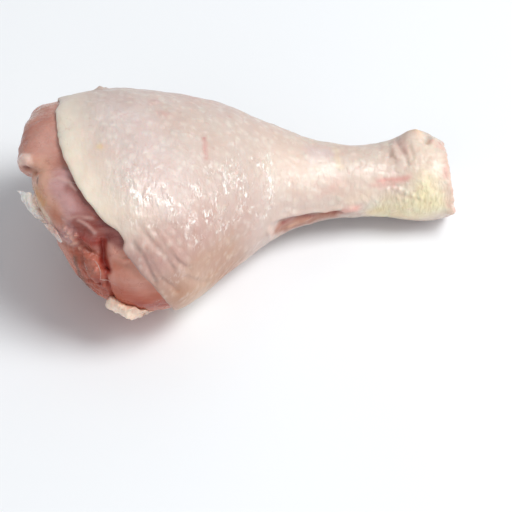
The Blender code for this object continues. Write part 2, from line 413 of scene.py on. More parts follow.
def make_mottling():
    """Cloudy unevenness at two sizes, and thin wandering veins."""
    tree, given, wanted = new_group("Mottling", {"Place": None, "Coarse": 90.0, "Fine": 320.0},
                                    ("Clouds", "Flecks", "Veins"))
    clouds = clouds_in(tree, given["Place"], given["Coarse"], 3.0, 0.55)["Fac"]
    flecks = clouds_in(tree, given["Place"], given["Fine"], 4.0, 0.6, 0.4)["Fac"]
    veins = clouds_in(tree, given["Place"], times(tree, given["Coarse"], 0.9), 5.0, 0.62, 0.8)["Fac"]
    off_middle = calculate(tree, "ABSOLUTE", calculate(tree, "SUBTRACT", veins, 0.5))
    thin = ranged(tree, off_middle, 0.016, 0.002)
    gaps = ranged(tree, clouds, 0.52, 0.62)
    tree.links.new(ranged(tree, clouds, 0.33, 0.67), wanted["Clouds"])
    tree.links.new(ranged(tree, flecks, 0.35, 0.65), wanted["Flecks"])
    tree.links.new(times(tree, thin, gaps), wanted["Veins"])
    return tree


def make_grain():
    """Muscle grain: long bundles with finer fibres in them. Across is how close the bundles lie."""
    tree, given, wanted = new_group("Grain", {"Place": None, "Across": 260.0}, ("Bundles", "Fibres"))
    squeezed = move_vector(tree, "MULTIPLY", given["Place"], (0.1, 1.0, 1.0))
    bundles = clouds_in(tree, squeezed, given["Across"], 2.0, 0.5, 0.25)["Fac"]
    fibres = clouds_in(tree, squeezed, times(tree, given["Across"], 4.5), 3.0, 0.6)["Fac"]
    tree.links.new(ranged(tree, bundles, 0.3, 0.7), wanted["Bundles"])
    tree.links.new(ranged(tree, fibres, 0.3, 0.7), wanted["Fibres"])
    return tree


def make_wet_film():
    """Moisture that pools in patches and glints on fine ripples running round the leg."""
    tree, given, wanted = new_group("Wet film", {"Place": None, "Patches": 130.0, "Ripples": 700.0},
                                    ("Wetness", "Ripple height"))
    pools = clouds_in(tree, given["Place"], given["Patches"], 3.0, 0.6)["Fac"]
    squeezed = move_vector(tree, "MULTIPLY", given["Place"], (1.0, 0.42, 0.42))
    ripples = clouds_in(tree, squeezed, given["Ripples"], 1.0, 0.4, 0.4)["Fac"]
    tree.links.new(ranged(tree, pools, 0.38, 0.62), wanted["Wetness"])
    tree.links.new(ripples, wanted["Ripple height"])
    return tree


PIMPLES = make_pimples()
MOTTLING = make_mottling()
GRAIN = make_grain()
WET_FILM = make_wet_film()


def use_group(tree, group, **values):
    """Place a node group; its values are named as its sockets are, with _ for a blank."""
    made = tree.nodes.new("ShaderNodeGroup")
    made.node_tree = group
    for name, value in values.items():
        socket = made.inputs[name.replace("_", " ")]
        if isinstance(value, bpy.types.NodeSocket):
            tree.links.new(value, socket)
        else:
            socket.default_value = value
    return made.outputs


def new_material(name, glow, glow_radius, coat, coat_roughness, ior=1.4):
    """A moist, slightly see-through material, its tree, and the object's coordinates.

    glow is how much light scatters inside it, and glow_radius how far the light goes, in millimetres.
    """
    material = bpy.data.materials.new(name)
    material.use_nodes = True
    tree = material.node_tree
    shader = tree.nodes["Principled BSDF"]
    shader.inputs["IOR"].default_value = ior
    shader.inputs["Subsurface Weight"].default_value = glow
    shader.inputs["Subsurface Radius"].default_value = (1.0, 0.42, 0.28)
    shader.inputs["Subsurface Scale"].default_value = glow_radius * MM
    shader.inputs["Coat Weight"].default_value = coat
    shader.inputs["Coat Roughness"].default_value = coat_roughness
    shader.inputs["Coat IOR"].default_value = 1.36
    return material, tree, tree.nodes.new("ShaderNodeTexCoord").outputs["Object"]


def finish_material(tree, colour, roughness, layers):
    """Link a colour and a roughness to the shader, and relief in layers from the lowest up, each of them a
    height and a depth in millimetres."""
    normal = None
    for height, depth in layers:
        layer = place_node(tree, "ShaderNodeBump", {"Height": height, "Distance": depth * MM})
        if normal is not None:
            tree.links.new(normal, layer.inputs["Normal"])
        normal = layer.outputs["Normal"]
    shader = tree.nodes["Principled BSDF"]
    for name, socket in (("Base Color", colour), ("Roughness", roughness), ("Normal", normal)):
        tree.links.new(socket, shader.inputs[name])


def own_paint(tree):
    return place_node(tree, "ShaderNodeAttribute", attribute_name="paint").outputs["Color"]


def own_mask(tree, name):
    return place_node(tree, "ShaderNodeAttribute", attribute_name=name).outputs["Fac"]


def skin_material():
    """Pale skin: creamy pimples with pinker hollows, faint veins, a few pores, a broken wet shine, and
    painted glints: near-white streaks laid into its colour where it is wettest.
    """
    material, tree, place = new_material("raw skin", 0.3, 1.6, 0.08, 0.2, ior=1.58)
    pimples = use_group(tree, PIMPLES, Place=place, Per_metre=430.0, Evenness=0.85)
    mottling = use_group(tree, MOTTLING, Place=place, Coarse=95.0, Fine=300.0)
    film = use_group(tree, WET_FILM, Place=place, Patches=150.0, Ripples=980.0)
    painted_glint_film = use_group(tree, WET_FILM, Place=place, Patches=320.0, Ripples=1700.0)
    wet_and_glint_band = own_mask(tree, "wetness")
    scaliness = own_mask(tree, "scaliness")
    rough = rest_of(tree, own_mask(tree, "smoothness"))
    wet_and_glints = times(tree, film["Wetness"], wet_and_glint_band)
    painted_glints = times(tree, ranged(tree, painted_glint_film["Ripple height"], 0.51, 0.64), painted_glint_film["Wetness"])
    colour = own_paint(tree)
    colour = blended(tree, colour, (234, 204, 196), rest_of(tree, mottling["Clouds"]), 0.24, how="MULTIPLY")
    colour = blended(tree, colour, (226, 200, 194), rest_of(tree, pimples["Tops"]), rough, 0.16,
                     how="MULTIPLY")
    colour = blended(tree, colour, (246, 238, 224), pimples["Tops"], mottling["Flecks"], 0.2, rough)
    colour = blended(tree, colour, (196, 140, 136), mottling["Veins"], 0.2)
    colour = blended(tree, colour, (186, 150, 128), pimples["Pores"], 0.22)
    # painted highlight: near-white glint streaks on the ripple tops, laid into the colour itself
    colour = blended(tree, colour, (252, 248, 242), painted_glints, ranged(tree, wet_and_glints, 0.22, 0.75), 0.85)
    colour = blended(tree, colour, (228, 224, 192), rest_of(tree, film["Ripple height"]), scaliness, 0.6,
                     how="MULTIPLY")
    ripples = times(tree, film["Ripple height"], calculate(tree, "ADD", wet_and_glint_band, scaliness))
    lifted = times(tree, pimples["Height"], rough)
    finish_material(tree, colour, ranged(tree, wet_and_glints, 0.0, 1.0, 0.46, 0.12),
                    ((ripples, 0.3), (mottling["Flecks"], 0.02), (lifted, 0.12)))
    return material


def muscle_material():
    """Moist raw muscle: its own colours with paler bundles and darker fibres, under a wet shine."""
    material, tree, place = new_material("raw muscle", 0.3, 1.8, 0.1, 0.15)
    grain = use_group(tree, GRAIN, Place=place, Across=230.0)
    mottling = use_group(tree, MOTTLING, Place=place, Coarse=170.0, Fine=520.0)
    film = use_group(tree, WET_FILM, Place=place, Patches=160.0, Ripples=500.0)
    colour = own_paint(tree)
    colour = blended(tree, colour, (226, 196, 188), grain["Bundles"], 0.16, how="MULTIPLY")
    colour = blended(tree, colour, (224, 176, 164), grain["Fibres"], mottling["Clouds"], 0.14)
    colour = blended(tree, colour, (150, 62, 56), mottling["Veins"], 0.3)
    finish_material(tree, colour, ranged(tree, film["Wetness"], 0.0, 1.0, 0.4, 0.22),
                    ((grain["Bundles"], 0.08), (grain["Fibres"], 0.03), (mottling["Flecks"], 0.05)))
    return material


def soft_material(name, warm, pale, roughness, depth):
    """Fat, tendon or gristle: its own colours, clouded with a warm and a pale tone, and finely lumpy."""
    material, tree, place = new_material(name, 0.35, 1.6, 0.3, 0.15)
    mottling = use_group(tree, MOTTLING, Place=place, Coarse=300.0, Fine=900.0)
    film = use_group(tree, WET_FILM, Place=place, Patches=240.0, Ripples=900.0)
    colour = own_paint(tree)
    colour = blended(tree, colour, warm, mottling["Clouds"], 0.4)
    colour = blended(tree, colour, pale, mottling["Flecks"], 0.3)
    colour = blended(tree, colour, (178, 96, 82), mottling["Veins"], 0.35)
    finish_material(tree, colour, ranged(tree, film["Wetness"], 0.0, 1.0, roughness + 0.08, roughness - 0.08),
                    ((mottling["Clouds"], depth), (mottling["Flecks"], depth * 0.4)))
    return material


# ---------------------------------------------------------------- skin

def rims_of_skin(points, facing):
    """Each point's distance from the skin's edge at the knee, and from its edge at the hock."""
    along_skin = np.abs(turned_out(points, facing)) < 0.45
    knee_rim = (facing[:, 0] < -0.5) & along_skin & (points[:, 0] < 10.0)
    hock_rim = (facing[:, 0] > 0.5) & along_skin & (points[:, 0] > 48.0)
    return distance_among(points, points[knee_rim]), distance_among(points, points[hock_rim])


# Thin creases that fan out over the calf towards the heel of the meat, each in one slack sweep.
CREASES = (
    ((-25.3, -24.7, 41.5), (-22.6, -27.1, 38.4), (-20.1, -28.4, 35.6), (-16.8, -29.9, 30.2)),
    ((-22.8, -26.3, 39.4), (-20.0, -27.7, 36.7), (-16.8, -28.5, 32.8), (-14.3, -28.3, 29.5)),
    ((-21.5, -25.0, 39.9), (-18.3, -27.1, 36.0), (-15.5, -28.3, 31.4), (-12.8, -27.7, 27.4)),
    ((-27.4, -28.2, 38.5), (-24.9, -30.2, 35.7), (-22.9, -31.7, 32.3), (-21.4, -32.9, 28.1)),
    ((-24.1, -29.1, 36.8), (-21.6, -31.0, 32.7), (-19.4, -32.2, 27.7), (-16.2, -31.3, 22.5)),
    ((-14.3, -29.4, 26.3), (-11.1, -27.1, 21.5), (-8.4, -23.3, 16.5)),
)
# Small bright scales in two rows over the hock.
PEARLS = ((39.6, 9.2, 17.0), (41.4, 9.3, 17.3), (43.2, 9.1, 17.1), (45.0, 8.7, 16.6), (46.8, 8.2, 16.1),
          (48.8, 7.9, 15.6), (42.6, 8.2, 15.2), (44.6, 8.0, 14.8))

# Shreds in the pocket under the shank, and the edge of the calf's skin where the pocket begins.
LOWER_SHRED = ((13.0, 0.6, 11.6), (16.4, 2.6, 11.2), (19.0, 3.6, 11.8))
UPPER_SHRED = ((22.6, 4.8, 13.4), (25.4, 5.4, 12.2), (28.4, 6.0, 11.8))
POCKET_END = ((7.6, -4.8, 17.2), (8.0, -4.2, 14.6), (8.6, -3.1, 11.0))

SKIN_FOLDS = (
    *(Fold(-0.42, 0.65, crease) for crease in CREASES),
    # slack ridges between the creases
    Fold(0.4, 1.1,
         ((-24.0, -25.2, 40.8), (-20.6, -27.2, 37.8), (-17.0, -28.8, 33.4), (-14.8, -29.0, 30.0))),
    Fold(0.45, 0.9, ((-20.0, -25.6, 38.8), (-16.6, -27.4, 34.4), (-13.8, -27.6, 29.8))),
    Fold(0.4, 1.2, ((-25.6, -28.2, 38.0), (-22.4, -30.4, 34.4), (-20.0, -31.8, 29.8))),
    # the pocket under the shank, where the calf's skin ends in a lip over a hollow
    Fold(0.55, 0.8,
         ((9.8, -2.4, 18.0), (13.6, 0.6, 16.6), (17.0, 2.2, 15.6), (22.0, 4.3, 14.2), (27.1, 5.3, 13.4))),
    Fold(-1.1, 0.9,
         ((10.4, -1.8, 15.8), (13.6, 0.6, 14.6), (17.0, 2.4, 13.5), (22.0, 4.6, 12.3), (27.0, 5.5, 11.5))),
    Fold(-0.5, 2.2, ((11.2, -0.8, 13.0), (15.0, 2.0, 11.4), (20.0, 4.2, 10.8))),
    Fold(0.5, 0.6, LOWER_SHRED),
    Fold(0.7, 0.6, UPPER_SHRED),
    Fold(0.6, 0.8, POCKET_END),
    Fold(0.6, 1.3, ((29.6, 6.0, 12.4), (31.6, 6.2, 12.0))),
    # creases and knuckles over the hock
    Fold(-0.45, 0.7, ((42.7, 25.4, 20.2), (44.2, 18.7, 22.6), (45.2, 14.8, 21.8))),
    Fold(-0.4, 0.6, ((40.4, 23.2, 20.6), (40.7, 17.5, 21.8))),
    Fold(-0.3, 0.6, ((45.8, 20.2, 22.8), (46.8, 16.0, 22.6))),
    Fold(0.35, 0.9, ((41.6, 21.0, 21.8), (42.4, 17.0, 22.2))),
    Fold(-1.5, 1.2, ((50.6, 22.4, 22.8), (50.4, 25.4, 21.2))),
    Fold(0.9, 1.8, ((46.0, 26.0, 21.8), (48.2, 26.2, 22.0))),
    Fold(0.7, 1.6, ((53.4, 22.9, 21.8),)),
    Fold(-0.7, 1.2, ((56.6, 21.4, 20.8),)),
    Fold(1.2, 1.5, ((57.6, 8.2, 9.8),)),
    Fold(-0.35, 0.8, ((34.0, 9.4, 18.0), (38.0, 9.2, 17.8), (44.6, 9.4, 18.0))),
    # a nub of loose skin at the top of the calf
    Fold(1.3, 0.9, ((-37.8, 25.2, 40.0),)),
    Fold(0.7, 0.7, ((-36.2, 26.0, 39.4),)),
    *(Fold(0.34, 0.6, (pearl,)) for pearl in PEARLS),
)

# The far side: creases behind the drawn-back edge, fat showing through, a vein and a few pink blots.
FAR_FOLDS = (
    Fold(-0.4, 0.7, ((-38.0, 36.0, 27.0), (-30.0, 38.0, 28.5), (-22.0, 36.0, 27.0), (-15.0, 34.0, 24.0))),
    Fold(0.35, 1.2, ((-37.0, 36.0, 24.0), (-29.0, 38.0, 25.0), (-21.0, 36.0, 23.0))),
    Fold(-0.35, 0.6, ((-38.0, 36.0, 20.5), (-31.0, 38.0, 21.0), (-25.0, 37.0, 19.0))),
    Fold(-0.35, 0.6, ((-36.0, 34.0, 35.0), (-29.0, 36.0, 36.5), (-22.0, 34.0, 36.0))),
    Fold(-0.3, 0.5, ((-24.0, 36.0, 13.0), (-16.0, 34.0, 12.0), (-9.0, 32.0, 13.0))),
    Fold(0.4, 1.6, ((4.0, 32.0, 16.0), (14.0, 30.0, 15.0), (24.0, 28.0, 14.0))),
    Fold(-0.35, 0.7, ((35.0, 28.0, 17.0), (36.0, 29.0, 12.0), (36.0, 28.0, 7.0))),
    Fold(-0.35, 0.7, ((38.4, 29.0, 16.0), (39.4, 30.0, 11.0), (39.0, 28.0, 6.0))),
    Fold(0.5, 2.2, ((47.0, 30.0, 12.0),)),
)
FAR_PATCHES = (
    Patch((204, 188, 190), 0.6, 9.0, ((-22.0, 34.0, 32.0), (-10.0, 32.0, 28.0))),
    Patch((238, 222, 186), 0.55, 4.5, ((-28.0, 36.0, 14.0), (-16.0, 34.0, 10.0))),
    Patch((204, 160, 150), 0.5, 4.5, ((-33.0, 36.0, 26.0), (-27.0, 37.0, 22.0))),
    Patch((206, 164, 156), 0.45, 3.5, ((0.0, 32.0, 14.0), (8.0, 31.0, 12.0))),
    Patch((196, 138, 134), 0.55, 0.5,
          ((-27.0, 37.0, 18.0), (-21.0, 36.0, 20.0), (-16.0, 35.0, 19.0), (-8.0, 33.0, 22.0))),
    Patch((200, 144, 140), 0.5, 0.45, ((-21.0, 36.0, 20.0), (-17.0, 35.0, 24.0), (-13.0, 34.0, 25.0))),
    Patch((238, 218, 192), 0.55, 5.0, ((24.0, 28.0, 12.0), (36.0, 28.0, 12.0))),
    Patch((244, 232, 196), 0.7, 4.0, ((47.0, 29.0, 8.0), (53.0, 28.0, 10.0))),
    Patch((214, 160, 152), 0.5, 1.6, ((41.0, 29.0, 14.0), (45.0, 29.0, 15.0))),
    Patch((210, 158, 150), 0.45, 1.8, ((-12.0, 26.0, 38.0),)),
)

# Where the moisture glints most, along the calf: the skin is smoothest there, and painted glint streaks lie
# in its colour.
WET_AND_GLINT_BAND = ((-27.0, -17.0, 44.5), (-16.0, -15.0, 41.0), (-8.0, -14.0, 36.5), (1.0, -4.0, 32.5),
            (6.0, 0.5, 29.0))

SCALES = ((42.0, 7.6, 12.0), (48.0, 8.0, 13.6), (53.0, 9.0, 14.6))
LIP_CORNER = ((-32.8, -25.0, 40.0), (-31.0, -26.8, 39.0))
HOCK_TIP = ((57.8, 8.4, 9.4),)

SKIN_BASE = (207, 190, 181)
INNER_SIDE = (232, 208, 188)
CUT_EDGE = (216, 180, 165)
CREAM = (252, 240, 220)
SCALE_YELLOW = (250, 240, 208)
# the pink of the skin where it turns under, darkened as painted shade
PINK_AND_PAINTED_SHADE = (178, 135, 126)
SKIN_PATCHES = (
    # the calf: lavender above, creamy in the middle, pinker where it turns under, and darker and browner
    # there as painted shade
    Patch((218, 204, 200), 0.8, 12.0, ((-34.0, 8.0, 49.0), (-24.0, 2.0, 49.0), (-24.0, -10.0, 46.5))),
    Patch((207, 192, 181), 0.7, 11.0, ((-12.0, 6.0, 44.0), (4.0, 10.0, 34.0), (16.0, 15.0, 27.0))),
    Patch(PINK_AND_PAINTED_SHADE, 0.8, 8.5, ((-26.0, -30.5, 33.0), (-20.0, -28.5, 36.0), (-12.0, -25.5, 32.0)), edge=3),
    Patch((180, 140, 121), 0.85, 8.5,
          ((-20.0, -32.0, 22.0), (-12.0, -28.0, 20.0), (-3.0, -18.0, 16.0)), edge=3),
    Patch((190, 160, 150), 0.65, 7.0, ((-10.0, -19.0, 34.0), (0.0, -10.0, 25.0))),
    Patch((182, 144, 120), 0.7, 4.5, ((-10.3, -24.8, 27.2), (-2.6, -15.1, 22.6))),
    Patch((176, 128, 96), 0.85, 4.6, ((-14.0, -27.6, 13.0), (-6.6, -20.8, 12.0), (-1.0, -13.8, 11.0))),
    Patch((180, 132, 98), 0.6, 3.6, ((-15.6, -30.0, 22.0), (-12.0, -27.6, 18.0), (-6.0, -22.0, 17.0))),
    Patch((206, 170, 158), 0.5, 12.0, ((-28.0, -6.0, 1.0), (-8.0, -4.0, 1.0)), edge=3),
    # the shank, with a darker band along its top that is painted shade
    Patch((228, 213, 200), 0.8, 9.0, ((12.0, 10.0, 26.0), (26.0, 11.0, 19.0), (38.0, 13.0, 17.0)), edge=3),
    # painted shade along the shank's top
    Patch((216, 200, 187), 0.7, 5.5, ((18.0, 20.0, 25.0), (28.0, 20.0, 23.0), (38.0, 20.0, 22.0))),
    Patch((238, 200, 190), 0.5, 1.8, ((20.0, 6.8, 20.0), (27.0, 8.2, 18.8))),
    Patch((214, 200, 202), 0.6, 3.0, ((19.5, 15.6, 25.2), (24.2, 17.0, 23.7))),
    Patch((236, 220, 184), 0.5, 1.0, ((26.9, 12.4, 22.8), (26.5, 15.1, 23.4), (26.2, 19.0, 23.0))),
    Patch((224, 184, 176), 0.5, 1.0, ((23.2, 6.6, 19.6), (25.4, 7.0, 19.6))),
    Patch((246, 228, 206), 0.5, 2.4, ((28.4, 6.2, 15.6), (33.8, 7.5, 16.5))),
    # the pocket under the shank: red tissue and pale shreds, with its hollow darkened to brown as painted
    # shade
    Patch((170, 104, 78), 0.85, 2.6,
          ((10.6, -1.6, 13.2), (13.5, 1.2, 11.2), (19.0, 4.0, 10.8), (25.0, 5.6, 10.6)), edge=4),
    Patch((150, 52, 40), 0.9, 0.9, ((12.0, -0.4, 15.2), (17.0, 2.5, 13.7), (21.0, 4.3, 12.8))),
    Patch((224, 184, 160), 0.7, 0.7, LOWER_SHRED),
    Patch((236, 200, 184), 0.8, 0.7, UPPER_SHRED),
    Patch((170, 84, 64), 0.8, 1.0, ((24.0, 5.2, 11.6), (29.6, 6.2, 10.6))),
    Patch((244, 190, 178), 0.8, 1.3, ((29.0, 6.0, 12.6), (31.8, 6.2, 12.2))),
    Patch((240, 216, 204), 0.8, 0.8, POCKET_END),
    # the hock: yellow scales, pink streaks and knuckles, and painted shade along two of its creases
    Patch((238, 224, 206), 0.85, 6.5, ((50.0, 20.0, 22.0), (51.0, 12.0, 19.0), (52.0, 8.0, 12.0)), edge=3),
    Patch(SCALE_YELLOW, 0.95, 5.2, ((40.0, 7.6, 10.0), (46.0, 8.0, 10.6), (51.0, 8.2, 13.0)), edge=3),
    Patch((246, 236, 196), 0.8, 3.2, ((50.0, 10.4, 17.6), (51.6, 9.0, 14.6))),
    Patch((240, 222, 182), 0.7, 1.6, ((36.4, 7.0, 10.4), (39.4, 7.3, 11.4))),
    Patch((222, 160, 150), 0.75, 0.9, ((37.4, 10.9, 19.4), (40.6, 11.0, 19.7), (45.2, 10.9, 19.8))),
    Patch((238, 186, 176), 0.5, 1.1, ((35.4, 10.0, 18.4), (38.0, 9.8, 18.2), (42.0, 10.0, 18.6))),
    Patch((236, 196, 140), 0.75, 1.6, ((48.2, 26.4, 21.8),)),
    # painted shade in two of the hock's creases
    Patch((206, 168, 160), 0.55, 1.3, ((43.0, 23.0, 21.8), (44.0, 18.6, 22.6))),
    Patch((198, 172, 158), 0.55, 0.9, ((41.0, 19.4, 21.8), (41.6, 16.4, 21.8))),
    Patch((200, 84, 74), 0.8, 0.55, ((54.6, 21.6, 21.6), (55.2, 20.0, 21.4))),
    Patch((226, 176, 166), 0.6, 0.8, ((52.6, 22.2, 22.0), (54.2, 20.4, 21.8))),
    Patch((210, 140, 134), 0.75, 0.8, ((55.4, 13.6, 20.4), (55.8, 12.2, 19.8))),
    Patch((222, 166, 146), 0.7, 0.7, ((56.2, 9.4, 16.6), (56.8, 8.6, 12.4))),
    # small marks
    Patch((226, 196, 116), 0.75, 1.0, ((-36.0, -4.7, 49.5),)),
    Patch((120, 92, 84), 0.85, 0.55, ((-36.2, -13.1, 47.6),)),
    Patch((196, 128, 124), 0.65, 0.5, ((-9.8, 4.0, 43.4), (-9.1, 0.6, 42.8), (-8.4, -2.2, 42.0))),
    Patch((200, 140, 136), 0.55, 0.5, ((-6.8, 15.8, 39.6), (-2.8, 16.8, 37.6))),
    Patch((210, 154, 146), 0.65, 1.8, ((-22.6, 16.0, 47.2),)),
    Patch((210, 158, 150), 0.6, 1.6, ((-19.8, 9.5, 47.8),)),
)

# Past which turn from the leg's middle line a point still counts as the skin's outer side.
OUTER_SIDE = -0.35

# How far the creamy band reaches from the skin's edge at the knee.
BAND = 9.0


def make_skin():
    """The skin: folded and pimpled, with a thick wavy lip where it is drawn back at the knee."""
    skin = tissue_from("skin", "drawn_back_skin")
    finer(skin, turned_out(places(skin), facings(skin)) > OUTER_SIDE)
    points = places(skin)
    shown_hock = (points[:, 0] > 37.0) & (points[:, 1] < 24.0) & (points[:, 2] > 6.0)
    finer(skin, shown_hock & (turned_out(points, facings(skin)) > OUTER_SIDE))

    points = places(skin)
    outward = away_from_middle(points)
    facing = facings(skin)
    outside = np.clip(turned_out(points, facing) * 3.0, 0.0, 1.0)
    from_knee, from_hock = rims_of_skin(points, facing)
    lip = fade(from_knee, 3.2)
    far = ramp(points[:, 1], 8.0, 22.0)
    rough = 1.0 - (1.0 - 0.6 * far) * fade(from_knee, BAND)
    surface = surface_of(skin)

    height = 0.5 * uneven(points, 16.0, 3.0) + 0.22 * uneven(points, 6.0, 9.0)
    height += folded(wandering(points, 5.0, 0.5, 2.0), (*SKIN_FOLDS, *laid_on(surface, FAR_FOLDS)))
    height += 0.2 * lip * uneven(points, 7.0, 21.0)
    points = points + height[:, None] * outward
    # the two edges wander, with a tongue of skin at the lip's corner and a tip at the hock
    points[:, 0] += lip * ((0.5 + 0.9 * far) * uneven(points, 9.0, 31.0) + 0.18 * uneven(points, 2.5, 35.0))
    points[:, 0] += 2.0 * fade(distance_to(LIP_CORNER, points), 2.0)
    ragged = 0.5 * uneven(points, 4.0, 41.0) + 0.25 * uneven(points, 1.6, 45.0)
    points[:, 0] += fade(from_hock, 2.2) * ragged
    points[:, 0] += 0.8 * fade(distance_to(HOCK_TIP, points), 1.8)
    points += (outside * rough * 0.15 * pimply(points, 2.7, 5.0))[:, None] * facing
    put_at(skin, points)

    grown = wandering(points, 6.0, 1.4, 50.0)
    above = ramp(points[:, 1], -30.0, -22.0)
    paint = painted(tone(SKIN_BASE), (*SKIN_PATCHES, *laid_on(surface, FAR_PATCHES)), grown)
    paint = mixed(paint, 0.75 * above * (1.0 - 0.5 * far) * fade(from_knee, BAND), CREAM)
    paint = mixed(paint, 0.8 * (1.0 - outside) * fade(from_knee, 4.0), INNER_SIDE)
    paint = mixed(paint, 0.5 * fade(from_hock, 1.4), CUT_EDGE)
    keep_paint(skin, paint)
    keep_mask(skin, "smoothness", 0.85 * above * (1.0 - 0.6 * far) * fade(from_knee, BAND, 3))
    keep_mask(skin, "scaliness", fade(distance_to(SCALES, grown), 5.0, 4))
    # the band gives both a low roughness and the painted glint streaks in the skin's colour
    wet_and_glints = fade(distance_to(WET_AND_GLINT_BAND, grown), 10.5, 2.6)
    keep_mask(skin, "wetness", np.maximum(wet_and_glints, 0.35) * (1.0 - 0.6 * above * fade(from_knee, BAND, 3)))
    skin.data.materials.append(skin_material())
    stand_for(skin, "skin", "skin")
    return skin


# ---------------------------------------------------------------- meat

PINK = (207, 150, 133)
TAN = (222, 172, 149)
PURPLE = (202, 158, 156)
BLOOD_RED = (154, 44, 30)
ORANGE_RED = (202, 120, 95)
SILVERSKIN = (210, 172, 164)
SINEW = (206, 166, 154)
DEEP_RED = (166, 90, 78)
LUMP_PINK = (190, 120, 107)
KNOB_PINK = (216, 170, 150)

# The red cleft between the torn tissue and the lower muscle, and the torn tissue with its lobe and lumps.
CREVICE = ((-34.9, -26.6, 37.2), (-35.4, -28.0, 35.2), (-35.1, -29.3, 33.0), (-34.4, -30.5, 30.6))
CREVICE_TAIL = ((-34.8, -30.2, 30.2), (-34.2, -31.0, 26.6), (-33.4, -31.4, 22.6), (-32.4, -31.4, 18.4))
TORN_TISSUE = ((-42.6, -24.0, 35.0), (-39.4, -27.0, 33.0), (-38.6, -28.4, 28.0), (-37.6, -28.5, 20.0))
TORN_LOBE = ((-38.9, -28.3, 31.0), (-37.4, -29.6, 28.4))
LUMPS = (((-40.4, -26.7, 33.6), 0.9), ((-37.6, -28.4, 32.6), 1.0), ((-36.6, -29.6, 29.8), 0.8),
         ((-39.9, -28.0, 29.0), 0.9), ((-36.9, -30.0, 26.2), 1.0), ((-35.2, -30.8, 25.0), 0.8),
         ((-38.8, -28.8, 24.4), 0.9), ((-35.8, -30.4, 20.8), 1.0))
# Gristle knobs at the joint, silvery films, and the wavy rim where the muscles close round the bone.
KNOBS = (((-44.9, -22.0, 37.5), 0.8), ((-43.9, -23.0, 37.0), 0.9), ((-44.5, -22.8, 35.4), 0.8),
         ((-43.2, -23.9, 35.8), 1.2), ((-42.2, -24.2, 36.8), 0.7), ((-42.4, -24.8, 34.6), 1.0),
         ((-43.3, -24.4, 33.8), 0.8), ((-41.4, -25.8, 33.6), 0.8))
FASCIA = (((-48.9, -11.3, 43.7), (-46.2, -11.4, 44.6), (-43.6, -12.6, 44.7), (-42.0, -14.8, 44.2)),
          ((-44.9, -20.4, 39.3), (-41.4, -21.1, 40.9), (-37.7, -21.7, 41.1)),
          ((-41.2, -22.0, 40.3), (-38.8, -23.2, 39.6), (-36.7, -24.5, 38.9)))
JOINT_RIM = tuple((-50.5, 2.6 + reach * math.cos(turn), 21.0 + reach * math.sin(turn))
                  for turn, reach in ((turn, 11.0 + 1.8 * math.sin(3.0 * turn + 1.0))
                                      for turn in np.linspace(0.0, 2.0 * math.pi, 25)))

